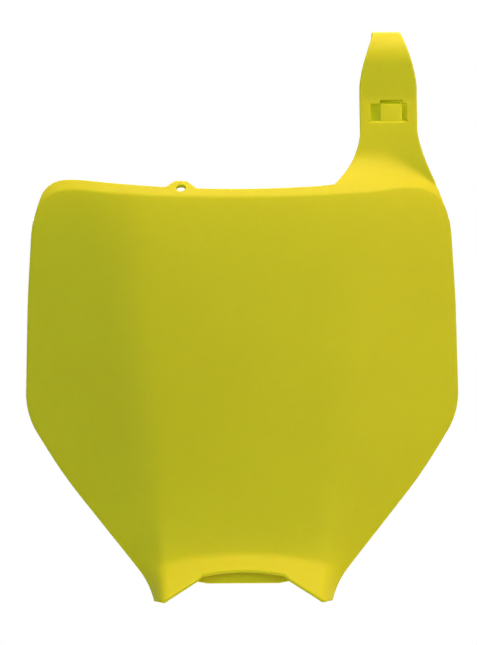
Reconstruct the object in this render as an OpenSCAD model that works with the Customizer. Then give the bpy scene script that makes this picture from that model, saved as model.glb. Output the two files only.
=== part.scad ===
// Front number board of an off-road motorcycle, one thin moulding in polypropylene.
// Millimetres, +Z up, the face looks along -Y. The sizes below count X from the middle
// of the board, Y from the middle of the face and Z from the foot. At the end the board is
// moved so that the origin is the middle of the seat for the handlebar, inside the curl.
// The wall is a loft: rows of points run across the board from the lip at the foot,
// up over the face and the back-bent top flange, and on into the strap, which curls
// back over the handlebar. Every row follows the named sizes below.

/* [Plate outline] */
// width across the shoulders
plate_w = 242.5; // [215:0.5:270]
// height of the shoulders above the foot
shoulder_z = 100.8; // [90:0.2:115]
// rounding of the shoulders
shoulder_r = 40; // [15:1:50]
// width where the lower edges swell
hip_w = 199.2; // [185:0.2:210]
// height of that swell
hip_z = 67.6; // [60:0.2:76]
// width where the lower edges turn down into the foot
ankle_w = 98.5; // [94:0.5:106]
// height of that turn
ankle_z = 6.2; // [4:0.1:10]
// width between the outer corners of the foot
foot_w = 96.8; // [88:0.2:98]
// width half way up the sides
side_w = 238.6; // [215:0.2:260]
// width just under the upper corners
upper_w = 233; // [210:0.2:250]
// height where the upper corners start to round
upper_z = 213.2; // [202:0.2:217]
// height of the top edge at its middle
plate_h = 225.2; // [220:0.5:240]
// how far the top edge climbs from its middle to the upper corners
top_dip = 5; // [0:0.5:9]
// wall thickness of the moulding
wall = 2.4; // [1.6:0.1:3.2]
// rounding of the free edges
edge_r = 0.7; // [0.3:0.05:0.75]

/* [Form of the face] */
// angle by which each wing turns back past the flat middle
wing_sweep = 20; // [5:1:30]
// radius of the gentle crown of the middle
crown_r = 650; // [400:10:1200]
// half width of the middle at the lip
mid_foot_x = 44.3; // [41:0.1:46]
// half width of the middle at the top edge
mid_top_x = 69.5; // [60:0.5:80]
// backward lean of the upper face
face_lean = 4.6; // [0:0.1:9]
// further lean just under the flange
brow_lean = 15; // [0:1:22]
// height of the band that takes that further lean
brow_h = 18; // [10:1:30]
// backward tilt of the top flange from upright
flange_tilt = 47; // [25:1:55]
// height of the flange at its middle, as seen from the front
flange_h = 4.9; // [3:0.1:8]
// how far the fold under the flange climbs from its middle to the upper corners
fold_dip = 3.4; // [0:0.1:6]
// roundness of the fold under the flange
fold_w = 3; // [1.5:0.1:4]

/* [Lip at the foot] */
// forward flare of the face just above the lip
foot_flare = 18; // [5:1:25]
// height of the band that takes that flare
flare_h = 14; // [8:1:20]
// forward tilt of the lip from upright
lip_tilt = 38; // [25:1:50]
// height of the lip's fold at the middle
lip_z = 24.9; // [22:0.1:28]
// how far that fold drops at its ends
lip_drop = 3.7; // [0:0.1:5]
// roundness of the lip's fold
lip_roll = 6; // [3:0.5:10]
// width over which the lip dies out beside its middle
lip_fade = 12; // [9:0.5:20]
// height of the arch in the lip's lower edge
arch_z = 16.8; // [15:0.1:18.5]
// width of the arch at its ends
arch_w = 45.4; // [36:0.2:50]
// rise of the arch over its ends
arch_rise = 2.3; // [0.5:0.1:3]
// width of the small step at each end of the arch
step_w = 2.8; // [2:0.1:4]
// height of that step
step_h = 2.6; // [1:0.1:3.5]
// width of the flat tip at each foot corner
tip_w = 4; // [2:0.1:6]

/* [Tongue behind the lip] */
// width of the tongue
tongue_w = 52; // [40:1:60]
// thickness of the tongue
tongue_t = 2.8; // [1.6:0.1:3.5]
// height of the tongue's lower edge
tongue_z = 8.9; // [6:0.1:13]
// length of the slanted ends of that edge
tongue_bevel_w = 6.5; // [1:0.5:10]
// height of the slanted ends
tongue_bevel_h = 1.2; // [0.2:0.1:3]

/* [Ear with the screw hole] */
// distance of the ear from the middle, to the left
ear_x = 33.1; // [26:0.1:42]
// width of the ear where it leaves the flange
ear_w = 16.6; // [13:0.2:20]
// width of the flat top of the ear
ear_top_w = 6.2; // [3:0.2:9]
// height of the ear over the flange, seen from the front
ear_h = 3.9; // [2.5:0.1:6]
// diameter of the hole
ear_hole_d = 5.5; // [3:0.1:6.5]
// height of the hole over the fold, seen from the front
ear_hole_z = 4.6; // [4.2:0.1:5.8]

/* [Strap] */
// distance of the strap's middle line from the board's, to the right
strap_x = 82.8; // [76:0.2:86]
// width of the strap below the curl
strap_w = 32.2; // [28:0.2:36]
// width of the strap over the crest and down its back
crest_w = 16; // [11:0.2:22]
// x where the left edge of the strap leaves the flange
root_x = 52; // [46:0.5:58]
// height where the right edge of the strap leaves the side
root_right_z = 225.4; // [222:0.2:227]
// height where the strap reaches its full straight width
root_top_z = 258; // [252:1:262]
// how far the strap's front stands behind the middle of the face at height 250
strap_back = 36.5; // [32:0.5:42]
// backward lean of the strap above its root
strap_lean = 11.3; // [5:0.1:16]
// height where the strap turns upright
kink_z = 276.2; // [275.7:0.1:281]
// height where the curl starts
curl_z = 295.2; // [290:0.5:310]
// diameter of the round space inside the curl
curl_d = 36.2; // [28:0.2:44]
// angle of the curl
curl_angle = 188; // [170:1:200]
// length of the straight tail after the curl
tail_len = 36; // [33:0.5:45]
// width of the tail's wide end
tail_w = 27; // [24:0.2:30]
// width of the slot in the tail
tail_slot_w = 16.5; // [14:0.1:18]
// height of the slot in the tail
tail_slot_h = 11; // [9:0.1:13]
// distance from the slot to the tail's end
tail_end = 5.5; // [4:0.1:8]

/* [Hook stud and its window] */
// width of the stud's head, and of the window in front of it
head_w = 20.1; // [17:0.1:22]
// height of the side slots of the window
window_h = 10; // [8:0.1:11]
// height of the window's lower edge
window_z = 263.6; // [262:0.1:266]
// width of the stud's stem
stem_w = 12.7; // [10:0.1:14]
// how far the stem sits to the right of the strap's middle line
stem_shift = 1.6; // [0:0.1:2]
// overhang of the head above the stem
head_top = 1.9; // [1:0.1:2]
// space between the strap's back and the head
head_gap = 3.2; // [2.6:0.1:5]
// thickness of the head
head_t = 2.4; // [1.6:0.1:4]
// depth of the shallow recess around the window
recess = 0.8; // [0.2:0.1:1.2]

/* [Hidden] */
$fn = 64;
plastic = [0.72, 0.70, 0.12];
mid_z = 100;
face_z = 204;
ankle_r = 48;
hip_r = 260;
side_r = 400;
upper_r = 70;
side_rise = 7;
corner_in = 8.7;
corner_up = 17.3;
crease_z = [18, 78, 120, 220];
flare_fade = 26;
fade_start = 0.2;
tip_z = 0.6;
edge_pull = 26;
left_edge_z = upper_z + 5.5;
left_edge_lead = [-4.8, 17];
right_edge_lead = [-9, 3];
fold_pull = 17.3;
fold_end_z = upper_z - 3.2;
fold_lead = [-6.6, 23.4];
climb_x = 80;
ear_round = 1.6;
fillet_len = 12;
fillet_h = 0.4;
under_shoulder = 9;
over_shoulder = 7;
crease_foot_w = 4;
crease_mid_w = 30;
crease_top_w = 46;
flare_power_left = 1.95;
flare_power_right = 1.45;
root_bend = 20;
root_slope = [1.25, 0.9];
root_tightness = 1.8;
least_bend = 0.5;
root_sag = 4.4;
taper_start = 14.5;
taper_len = 42;
strap_z = 250;
kink_w = 5;
kink_share = 0.9;
bore_skin = 0.15;
curl_r = curl_d / 2 + wall;
curl_start_y = strap_y(curl_z);
curl_centre = [curl_start_y + curl_r, curl_z];
tail_spread_start = 6;
tail_spread_len = 11;
tail_corner_r = 5;
stem_relief = 0.3;
stem_root = 2;
head_lap = 1.2;
slant_h = 3;
slant_edge = 0.5;
tongue_top_z = 41;
tongue_root_h = 12;
tongue_front_y = -0.8;
tongue_root_y = 0.6;
deep = 60;

// general helpers
function mix(a, b, t) = a + (b - a) * t;
function clamp01(t) = min(max(t, 0), 1);
function ease(t) = let (c = clamp01(t)) c * c * (3 - 2 * c);
function unit(v) = v / norm(v);

// a smooth bend: 0 ahead of it, d past it, rounded over the width w
function bend(d, w) =
    let (t = d / w + 0.5)
    t <= 0 ? 0 : t >= 1 ? d : w * (pow(t, 3) - pow(t, 4) / 2);

function sorted(v) =
    len(v) < 2 ? v :
    let (p = v[floor(len(v) / 2)])
    concat(sorted([for (a = v) if (a < p) a]), [p], sorted([for (a = v) if (a > p) a]));

// the arc that rounds corner b of the line a, b, c
function rounded(a, b, c, r, steps) =
    let (u = unit(a - b), w = unit(c - b), half = acos(u * w) / 2)
    let (centre = b + unit(u + w) * r / sin(half))
    let (from = b + u * r / tan(half) - centre, to = b + w * r / tan(half) - centre)
    let (start = atan2(from[1], from[0]), stop = atan2(to[1], to[0]))
    [for (k = [0:steps]) let (g = mix(start, stop, k / steps)) centre + r * [cos(g), sin(g)]];

function curve(a, b, c, d, t) =
    pow(1 - t, 3) * a + 3 * pow(1 - t, 2) * t * b + 3 * (1 - t) * t * t * c + pow(t, 3) * d;

// outline of the right side, from the foot to the upper corner, as [x, z]
foot = [foot_w / 2, 0];
ankle = [ankle_w / 2, ankle_z];
hip = [hip_w / 2, hip_z];
shoulder = [plate_w / 2, shoulder_z];
side = [side_w / 2, (shoulder_z + upper_z) / 2 + side_rise];
upper = [upper_w / 2, upper_z];
corner = [upper_w / 2 - corner_in, upper_z + corner_up];
side_path = concat(
    [foot],
    rounded(foot, ankle, hip, ankle_r, 5),
    rounded(ankle, hip, shoulder, hip_r, 4),
    rounded(hip, shoulder, side, shoulder_r, 6),
    rounded(shoulder, side, upper, side_r, 3),
    rounded(side, upper, corner, upper_r, 5),
    [corner]
);
side_table = [for (p = side_path) [p[1], p[0]]];
function half_width(z) = lookup(z, side_table) - edge_r;

// lower edge of the lip and the line of its fold
arch_end_x = arch_w / 2;
leg_end_x = mid_foot_x;
lip_table = [
    [arch_end_x, arch_z - arch_rise],
    [arch_end_x + step_w, arch_z - arch_rise - step_h],
    [leg_end_x, tip_z],
    [foot_w / 2 - tip_w, tip_z],
    [foot_w / 2, 0]
];
function lip_edge(x) =
    let (a = abs(x))
    edge_r + (a < arch_end_x ? arch_z - arch_rise * pow(a / arch_end_x, 2) : lookup(a, lip_table));
function lip_fold(x) = lip_z - lip_drop * pow(min(abs(x) / mid_foot_x, 1), 2);

// half width of the middle of the face, between its two soft creases
function mid_x(z) = mid_foot_x + (mid_top_x - mid_foot_x) * clamp01((z - lip_z) / (plate_h - lip_z));
function crease_w(z) =
    mix(crease_foot_w, crease_mid_w, ease((z - crease_z[0]) / (crease_z[1] - crease_z[0])))
    + (crease_top_w - crease_mid_w) * ease((z - crease_z[2]) / (crease_z[3] - crease_z[2]));

// depth of the face, without its folds
function lean_y(z) =
    tan(face_lean) * pow(max(z - mid_z, 0), 2) / (2 * (plate_h - mid_z))
    + tan(brow_lean) * (brow_h * exp(-max(plate_h - z, 0) / brow_h) + max(z - plate_h, 0));
function faded(x, z, width) = 1 - ease((abs(x) - mid_x(z)) / width + fade_start);
function flare_y(x, z) =
    tan(foot_flare) * (flare_h * exp(-max(z - lip_z, 0) / flare_h) + max(lip_z - z, 0)) * faded(x, z, flare_fade);
function wing_y(x, z) =
    let (a = abs(x), m = mid_x(z))
    pow(min(a, m), 2) / (2 * crown_r) + max(a - m, 0) * m / crown_r + tan(wing_sweep) * bend(a - m, crease_w(z));
function face_y(x, z) = lean_y(z) - flare_y(x, z) + wing_y(x, z);

// depth of the board: over is the distance past the flange's fold, under past the lip's
flange_slope = tan(flange_tilt) - tan(brow_lean) - tan(face_lean);
lip_slope = tan(lip_tilt) - tan(foot_flare);
function board_y(x, z, over, under) =
    face_y(x, z) + flange_slope * bend(over, fold_w) - lip_slope * bend(under, lip_roll) * faded(x, z, lip_fade);

// top edge and the fold under the flange, as [x, z], for a place u across the board:
// u runs from -1 to 1 over the middle and on to -2 and 2 at the sides
function climb(x, dip) = dip * pow(x / climb_x, 2);
function ear_bump(x) =
    let (a = abs(x + ear_x), flank = (ear_w - ear_top_w) / 2)
    ear_h * (1 - (bend(a - ear_top_w / 2, ear_round) - bend(a - ear_w / 2, ear_round)) / flank);
function root_fillet(x) = fillet_h * pow(clamp01((x - root_x) / fillet_len + 1), 2);
function top_line(u, drop, dip, pull, end_z, lead) =
    let (x = u * mid_top_x, a = [mid_top_x, plate_h - drop + climb(mid_top_x, dip)])
    let (b = a + pull * [1, 2 * climb(mid_top_x, dip) / mid_top_x], d = [half_width(end_z), end_z])
    let (p = curve(a, b, d + lead, d, abs(u) - 1))
    abs(u) <= 1 ? [x, plate_h - drop + climb(x, dip)] : [sign(u) * p[0], p[1]];
function fold_at(u) = top_line(u, flange_h, fold_dip, fold_pull, fold_end_z, fold_lead);
function edge_at(u) =
    let (p = u < 0 ? top_line(u, edge_r, top_dip, edge_pull, left_edge_z, left_edge_lead)
        : top_line(u, edge_r, top_dip, edge_pull, root_right_z, right_edge_lead))
    [p[0], p[1] + ear_bump(p[0]) + (abs(u) <= 1 ? root_fillet(p[0]) : u > 1 ? root_fillet(root_x) * (2 - u) : 0)];

// how far a point [x, z] lies past the fold, outward, and the depth of the board there
fold_line = [for (k = [-40:40]) fold_at(k / 20)];
function past_fold(p) =
    let (d = [for (k = [1:len(fold_line) - 1])
        let (a = fold_line[k - 1], s = fold_line[k] - a) norm(p - a - clamp01((p - a) * s / (s * s)) * s)])
    let (m = min(d), k = [for (i = [0:len(d) - 1]) if (d[i] == m) i][0])
    let (a = fold_line[k], s = fold_line[k + 1] - a)
    s[0] * (p[1] - a[1]) < s[1] * (p[0] - a[0]) ? -m : m;
function upper_y(x, z) = board_y(x, z, past_fold([x, z]), -100);

// columns of the loft
arch_marks = [arch_end_x - 5, arch_end_x, arch_end_x + step_w] / mid_foot_x;
plain_marks = [0.14, 0.26, 0.71, 0.8, 0.9, 1];
ear_marks = [for (k = [-1.1, -0.9, -0.68, -0.46, -0.26, 0, 0.26, 0.46, 0.68, 0.9, 1.1]) (ear_x + k * ear_w / 2) / mid_top_x];
wing_marks = [1.16, 1.32, 1.47, 1.6, 1.72, 1.82, 1.91, 2];
left_marks = concat(arch_marks, plain_marks, ear_marks, wing_marks);
right_marks = concat(arch_marks, plain_marks, [root_x / mid_top_x], wing_marks);
columns = sorted(concat([0], -1 * left_marks, right_marks));
last = len(columns) - 1;
root_gap = min([for (u = columns) abs(u - root_x / mid_top_x)]);
root = [for (i = [0:last]) if (abs(columns[i] - root_x / mid_top_x) == root_gap) i][0];

// rows of the loft, as [zone, share of the zone]
lip_rows = [for (t = [0, 0.22, 0.45, 0.68, 0.85, 1]) [0, t]];
thigh_rows = [for (t = [0.03, 0.07, 0.13, 0.2, 0.29, 0.39, 0.5, 0.62, 0.74, 0.87, 1]) [1, t]];
shoulder_rows = [for (t = [0.25, 0.5, 0.75, 1]) [2, t]];
side_rows = [for (t = [0.14, 0.3, 0.46, 0.62, 0.76, 0.89, 1]) [3, t]];
brow_rows = [for (t = [0.3, 0.55, 0.76, 0.92, 1]) [4, t]];
flange_rows = [for (t = [0.3, 0.65, 1]) [5, t]];
rows = concat(lip_rows, thigh_rows, shoulder_rows, side_rows, brow_rows, flange_rows);
top = len(rows) - 1;

function across(u, z) =
    abs(u) <= 1 ? u * mid_x(z) : sign(u) * mix(mid_x(z), half_width(z), abs(u) - 1);
low_shoulder_z = shoulder_z - under_shoulder;
high_shoulder_z = shoulder_z + over_shoulder;
function lip_point(u, t) =
    let (foot_u = abs(u) <= 1 ? u : sign(u), x0 = across(u, tip_z))
    let (low = lip_edge(abs(u) <= 1 ? u * mid_foot_x : x0), high = lip_fold(foot_u * mid_foot_x))
    let (z = mix(low, high, t), x = across(u, z))
    [x, board_y(x, z, -100, high - z), z];
function thigh_point(u, t) =
    let (low = lip_fold((abs(u) <= 1 ? u : 1) * mid_foot_x), z = mix(low, low_shoulder_z, t), x = across(u, z))
    [x, board_y(x, z, -100, low - z), z];
function side_point(u, z) = let (x = across(u, z)) [x, board_y(x, z, -100, -100), z];
function brow_point(u, t) =
    let (f = fold_at(u), z = mix(face_z, f[1], t), x = across(u, z) + t * (f[0] - across(u, f[1])))
    [x, upper_y(x, z), z];
function flange_point(u, t) =
    let (f = fold_at(u), p = mix(f, edge_at(u), t))
    [p[0], upper_y(p[0], p[1]), p[1]];
function board_point(row, u) =
    let (zone = row[0], t = row[1])
    zone == 0 ? lip_point(u, t) :
    zone == 1 ? thigh_point(u, t) :
    zone == 2 ? side_point(u, mix(low_shoulder_z, high_shoulder_z, t)) :
    zone == 3 ? side_point(u, mix(high_shoulder_z, face_z, t)) :
    zone == 4 ? brow_point(u, t) : flange_point(u, t);
board = [for (row = rows) [for (u = columns) board_point(row, u)]];

// the strap: depth of its straight part, and half its width at a distance s past the curl's start
function strap_y(z) =
    strap_back + tan(strap_lean) * (z - strap_z - kink_share * bend(z - kink_z, kink_w));
function strap_half(s) = mix(strap_w, crest_w, ease((s + taper_start) / taper_len)) / 2 - edge_r;
curl_len = curl_r * curl_angle * PI / 180;
function tail_half(l) =
    let (wide = mix(crest_w, tail_w, ease((l - tail_spread_start) / tail_spread_len)) / 2 - edge_r)
    let (past = max(l - (tail_len - edge_r - tail_corner_r), 0))
    wide - tail_corner_r + sqrt(pow(tail_corner_r, 2) - pow(min(past, tail_corner_r), 2));

left_root = board[top][root];
right_root = board[top][last];
flare_left = strap_x - strap_half(root_top_z - curl_z) - left_root[0];
flare_right = right_root[0] - strap_x - strap_half(root_top_z - curl_z);
root_span = right_root[0] - left_root[0];
function root_flat_y(share, z, t) = strap_y(z) + root_sag * pow(share * (1 - t), 2);
// the bend between flange and strap starts past the flange's edge, where the two are close together
function root_width(share, b) = min(max(root_tightness * (root_flat_y(share, b[2], 0) - b[1]), least_bend), root_bend);
function root_point(i, t) =
    let (b = board[top][i], z = mix(b[2], root_top_z, t), half = strap_half(z - curl_z))
    let (left = strap_x - half - flare_left * pow(1 - t, flare_power_left))
    let (right = strap_x + half + flare_right * pow(1 - t, flare_power_right))
    let (share = (i - root) / (last - root), g = mix((b[0] - left_root[0]) / root_span, share, t))
    let (slope_y = b[1] + mix(root_slope[0], root_slope[1], share) * (z - b[2]))
    [mix(left, right, g), slope_y - bend(slope_y - root_flat_y(share, z, t), root_width(share, b)), z];
function spread(i, half) = strap_x + half * (2 * (i - root) / (last - root) - 1);
function curl_point(i, g) =
    [spread(i, strap_half(curl_r * g * PI / 180)),
     curl_centre[0] - curl_r * cos(g), curl_centre[1] + curl_r * sin(g)];
function tail_point(i, l) =
    let (p = curl_point(i, curl_angle))
    [spread(i, tail_half(l)), p[1] + l * sin(curl_angle), p[2] + l * cos(curl_angle)];

root_rows = [0.08, 0.18, 0.29, 0.4, 0.52, 0.65, 0.8, 1];
upright_z = [264, 270, kink_z - 2.5, kink_z, kink_z + 2.5, kink_z + 6, curl_z - 9, curl_z - 4.5, curl_z];
curl_steps = 22;
tail_l = [for (t = [0, 0.27, 0.5, 0.73, 1, 1.45, 2]) tail_spread_start + t * tail_spread_len,
    for (k = [0, 30, 50, 65, 78]) tail_len - edge_r - tail_corner_r * (1 - sin(k))];
strap = concat(
    [for (t = root_rows) [for (i = [root:last]) root_point(i, t)]],
    [for (z = upright_z) [for (i = [root:last]) [spread(i, strap_half(z - curl_z)), strap_y(z), z]]],
    [for (k = [1:curl_steps]) [for (i = [root:last]) curl_point(i, curl_angle * k / curl_steps)]],
    [for (l = tail_l) [for (i = [root:last]) tail_point(i, l)]]
);
end = top + len(strap);

// the loft as one grid: row j, column i, with only the strap's columns above the top row
function first(j) = j <= top ? 0 : root;
function at(j, i) = j <= top ? board[j][i] : strap[j - top - 1][i - root];
function in_grid(j, i) = j >= 0 && j <= end && i >= first(j) && i <= last;
function grid_normal(j, i) =
    let (e = in_grid(j, i + 1) ? at(j, i + 1) : at(j, i), w = in_grid(j, i - 1) ? at(j, i - 1) : at(j, i))
    let (n = in_grid(j + 1, i) ? at(j + 1, i) : at(j, i), s = in_grid(j - 1, i) ? at(j - 1, i) : at(j, i))
    unit(cross(e - w, n - s));
// near the upper left corner rows and columns both follow the edge, so the slopes of the depth are used
function normal(j, i) =
    j > top || columns[i] > -1.5 || rows[j][0] < 4 ? grid_normal(j, i) :
    let (x = at(j, i)[0], z = at(j, i)[2])
    unit([upper_y(x + 0.5, z) - upper_y(x - 0.5, z), -1, upper_y(x, z + 0.5) - upper_y(x, z - 0.5)]);
// the curl is a little thicker at first, because the seat for the handlebar is then bored out of it
curl_start = top + len(root_rows) + len(upright_z);
function thickness(j) = wall + (j < curl_start || j > curl_start + curl_steps ? 0 : bore_skin);
grid = [for (j = [0:end]) for (i = [first(j):last]) [j, i]];
front = [for (g = grid) at(g[0], g[1])];
back = [for (g = grid) at(g[0], g[1]) - thickness(g[0]) * normal(g[0], g[1])];
count = len(grid);
function index(j, i) =
    j <= top ? j * (last + 1) + i : (top + 1) * (last + 1) + (j - top - 1) * (last - root + 1) + i - root;

// the free edge, once round the board and the strap
rim = concat(
    [for (i = [0:last]) [0, i]],
    [for (j = [1:end]) [j, last]],
    [for (i = [last - 1:-1:root]) [end, i]],
    [for (j = [end - 1:-1:top]) [j, root]],
    [for (i = [root - 1:-1:0]) [top, i]],
    [for (j = [top - 1:-1:1]) [j, 0]]
);
rim_count = len(rim);
function outward(k) =
    let (a = rim[(k + rim_count - 1) % rim_count], b = rim[(k + 1) % rim_count])
    unit(cross(at(b[0], b[1]) - at(a[0], a[1]), normal(rim[k][0], rim[k][1])));
rounding = [[sin(45), 1 - cos(45)], [1, 1]] * edge_r;
rim_steps = [[rounding[0], 0], [rounding[1], 0], [rounding[1], 1], [rounding[0], 1]];
rim_points = [
    for (s = rim_steps) for (k = [0:rim_count - 1])
        let (j = rim[k][0], i = rim[k][1], down = s[1] == 0 ? s[0][1] : thickness(j) - s[0][1])
        at(j, i) + s[0][0] * outward(k) - down * normal(j, i)
];

// faces, each given clockwise from outside
function pair(a, b, c, d) = [[a, b, c], [a, c, d]];
cells = [for (j = [0:end - 1]) for (i = [(j < top ? 0 : root):last - 1]) [j, i]];
// each cell is split along the diagonal that follows the creases beside it
function falls(j, i) = j >= top || columns[i] < 0;
function cell_faces(a, b, c, d, falling) = falling ? pair(b, c, d, a) : pair(a, b, c, d);
front_faces = [for (c = cells) let (j = c[0], i = c[1])
    each cell_faces(index(j, i), index(j + 1, i), index(j + 1, i + 1), index(j, i + 1), falls(j, i))];
back_faces = [for (c = cells) let (j = c[0], i = c[1])
    each cell_faces(count + index(j + 1, i + 1), count + index(j + 1, i), count + index(j, i), count + index(j, i + 1),
        falls(j, i))];
function ring(s, k) =
    let (r = rim[k % rim_count])
    s == 0 ? index(r[0], r[1]) :
    s == len(rim_steps) + 1 ? count + index(r[0], r[1]) :
    2 * count + (s - 1) * rim_count + k % rim_count;
rim_faces = [for (s = [0:len(rim_steps)]) for (k = [0:rim_count - 1])
    each pair(ring(s, k), ring(s, k + 1), ring(s + 1, k + 1), ring(s + 1, k))];

module wall_loft() {
    polyhedron(points = concat(front, back, rim_points), faces = concat(front_faces, back_faces, rim_faces));
}

// the round seat for the handlebar inside the curl
module bar_seat() {
    translate([strap_x, curl_centre[0], curl_centre[1]]) rotate([0, 90, 0])
        cylinder(h = 2 * strap_w, d = curl_d, center = true);
}

// the screw hole in the ear, square to the flange
module ear_hole() {
    z = plate_h - flange_h + climb(ear_x, fold_dip) + ear_hole_z;
    y = upper_y(-ear_x, z);
    translate([-ear_x, y, z]) rotate([90 - flange_tilt, 0, 0])
        cylinder(h = 6 * wall, d = ear_hole_d, center = true);
}

// places its children on the strap's front: x to the right, y into the wall, z up the strap
module on_strap() {
    translate([strap_x, strap_y(window_z), window_z]) rotate([-strap_lean, 0, 0]) children();
}

// the stud behind the window, with a head that overhangs to both sides and above
module stud() {
    stem_x = stem_shift - stem_w / 2;
    head_y = wall + head_gap;
    head_h = window_h + head_top + 2 * head_lap;
    on_strap() {
        translate([stem_x, recess, -stem_root]) cube([stem_w, head_y + head_t / 2 - recess, window_h + stem_root]);
        translate([0, head_y, window_h / 2]) rotate([-90, 0, 0]) linear_extrude(head_t) {
            square([head_w + 2 * head_lap, window_h + 2 * head_lap], center = true);
            translate([stem_x, -window_h / 2 - head_top - head_lap]) square([stem_w, head_h - head_lap]);
        }
    }
}

// the window in front of the stud, which the stem fills but for a slot on each side and above;
// its lower edge is cut back at a slant
module window() {
    cut_w = stem_w + 2 * stem_relief;
    on_strap() {
        translate([0, -wall, 0]) rotate([-90, 0, 0]) linear_extrude(2 * wall + head_gap / 2) {
            translate([-head_w / 2, -window_h]) square([head_w, window_h]);
            translate([stem_shift - cut_w / 2, -window_h - head_top]) square([cut_w, window_h]);
        }
        rotate([90, 0, 90]) translate([0, 0, -head_w / 2 - recess]) linear_extrude(head_w + 2 * recess)
            polygon([[-slant_h, -slant_h - recess], [recess, 0], [recess, slant_edge], [-slant_h, slant_edge]]);
    }
}

// the tongue that stands down behind the lip
module tongue() {
    intersection() {
        rotate([90, 0, 90]) translate([0, 0, -tongue_w / 2]) linear_extrude(tongue_w)
            polygon([[tongue_front_y, tongue_z], [tongue_front_y + tongue_t, tongue_z],
                [tongue_front_y + tongue_t, tongue_top_z - tongue_root_h], [tongue_root_y, tongue_top_z],
                [tongue_front_y, tongue_top_z]]);
        rotate([90, 0, 0]) linear_extrude(deep, center = true)
            polygon([[-tongue_w / 2, tongue_z + tongue_bevel_h], [-tongue_w / 2 + tongue_bevel_w, tongue_z],
                [tongue_w / 2 - tongue_bevel_w, tongue_z], [tongue_w / 2, tongue_z + tongue_bevel_h],
                [tongue_w / 2, deep], [-tongue_w / 2, deep]]);
    }
}

// the slot near the tail's end, which hooks over the stud
module tail_slot() {
    p = tail_point(root, tail_len - tail_end - tail_slot_h / 2);
    translate([strap_x, p[1], p[2]]) rotate([180 - curl_angle, 0, 0])
        cube([tail_slot_w, 6 * wall, tail_slot_h], center = true);
}

module number_board() {
    color(plastic) translate([-strap_x, -curl_centre[0], -curl_centre[1]]) {
        difference() {
            wall_loft();
            bar_seat();
            ear_hole();
            window();
            tail_slot();
        }
        stud();
        tongue();
    }
}

number_board();
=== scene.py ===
# %% [markdown]
# # A racing number board in fluorescent yellow plastic
# This is the board at the front of an off-road racing motorcycle. It carries the rider's number, so its
# face is bare and gently curved. It is one thin moulding: a face with swept wings, a top flange
# that leans back, an ear with a screw hole, a flared lip at the foot, and a long strap that curls back over
# the handlebar and hooks onto a stud of its own.
#
# The CAD model already holds all of these forms, with flat facets. Here they are made again on a much finer
# mesh with rounded edges, and given the satin finish of the real plastic. The steps are: load the frame,
# describe the surface, lay a grid on it, give it thickness, cut the openings, join the small parts, then
# finish, light and photograph it.
#
# Each step starts with its own sizes, as on a mould maker's drawing. They are the named sizes of the CAD
# source, in millimetres and degrees, counted with x from the middle of the board, y from the middle of its
# face and z from the foot. Some are not the CAD model's: the lip is tilted 45 degrees here and 38 there, it
# folds at another height, and the face is bowed and shifted. They were changed by trial so that the light
# falls as in the photograph. The mesh therefore lies about half a millimetre from the CAD model over most
# of the board and up to 3 mm from it at the lip, though inside the same box.

# %% Load the frame
import math

import bmesh
import bpy
import numpy as np
from mathutils import Matrix, Vector


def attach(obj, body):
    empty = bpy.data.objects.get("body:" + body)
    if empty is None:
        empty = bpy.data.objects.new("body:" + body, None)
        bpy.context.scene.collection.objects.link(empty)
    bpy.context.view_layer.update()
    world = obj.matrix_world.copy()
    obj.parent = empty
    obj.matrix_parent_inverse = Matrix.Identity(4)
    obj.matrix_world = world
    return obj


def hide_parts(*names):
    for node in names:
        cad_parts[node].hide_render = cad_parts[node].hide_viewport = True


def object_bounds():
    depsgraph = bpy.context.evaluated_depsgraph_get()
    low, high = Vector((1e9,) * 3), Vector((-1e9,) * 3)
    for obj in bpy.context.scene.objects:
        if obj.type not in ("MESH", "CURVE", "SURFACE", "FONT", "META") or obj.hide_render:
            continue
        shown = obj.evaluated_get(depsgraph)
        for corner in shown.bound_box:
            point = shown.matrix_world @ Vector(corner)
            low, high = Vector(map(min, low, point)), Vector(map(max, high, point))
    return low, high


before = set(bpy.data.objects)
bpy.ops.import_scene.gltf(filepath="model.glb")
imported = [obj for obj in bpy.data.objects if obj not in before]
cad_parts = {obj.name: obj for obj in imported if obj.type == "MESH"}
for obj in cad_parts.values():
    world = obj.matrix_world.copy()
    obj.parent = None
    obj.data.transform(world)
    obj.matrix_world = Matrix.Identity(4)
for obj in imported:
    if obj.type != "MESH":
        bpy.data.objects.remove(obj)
cad_box = [list(corner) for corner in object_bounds()]
print("CAD box in metres:", [[round(v, 4) for v in corner] for corner in cad_box])

# %% [markdown]
# ## Curves that never break sharply
# Plastic flows round a mould, so nearly every change of direction on the real board is a soft bend. Two
# small functions make all of them: `ease` blends one value into another, and `bend` turns a flat surface
# into a sloping one over a given width. Working on whole arrays at once keeps the script quick.

# %% Soft steps and soft bends
def ease(share):
    """A share from 0 to 1 that starts and stops gently."""
    s = np.clip(share, 0, 1)
    return s * s * (3 - 2 * s)


def mix(first, second, share):
    """The value that lies that share of the way from first to second."""
    return first + (second - first) * share


def bend(distance, width):
    """0 ahead of a fold and the distance past it, rounded over the width."""
    t = np.clip(distance / width + 0.5, 0, None)
    return np.where(t >= 1, distance, width * (t**3 - t**4 / 2))


def slope(degrees):
    """Rise for each millimetre of run."""
    return math.tan(math.radians(degrees))


print("a soft bend over 4 mm, 1 mm past its fold, has risen", round(float(bend(1, 4)), 3), "mm")


# %% [markdown]
# ## The outline of one side
# Seen from the front the side runs from the foot out to the hip, on to the widest point at the shoulder, and
# up to the top corner. It is a line of straight runs whose corners are rounded by arcs, which is how such
# an outline is drawn. Interpolating in the finished line gives half the board's width at any height.

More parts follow.
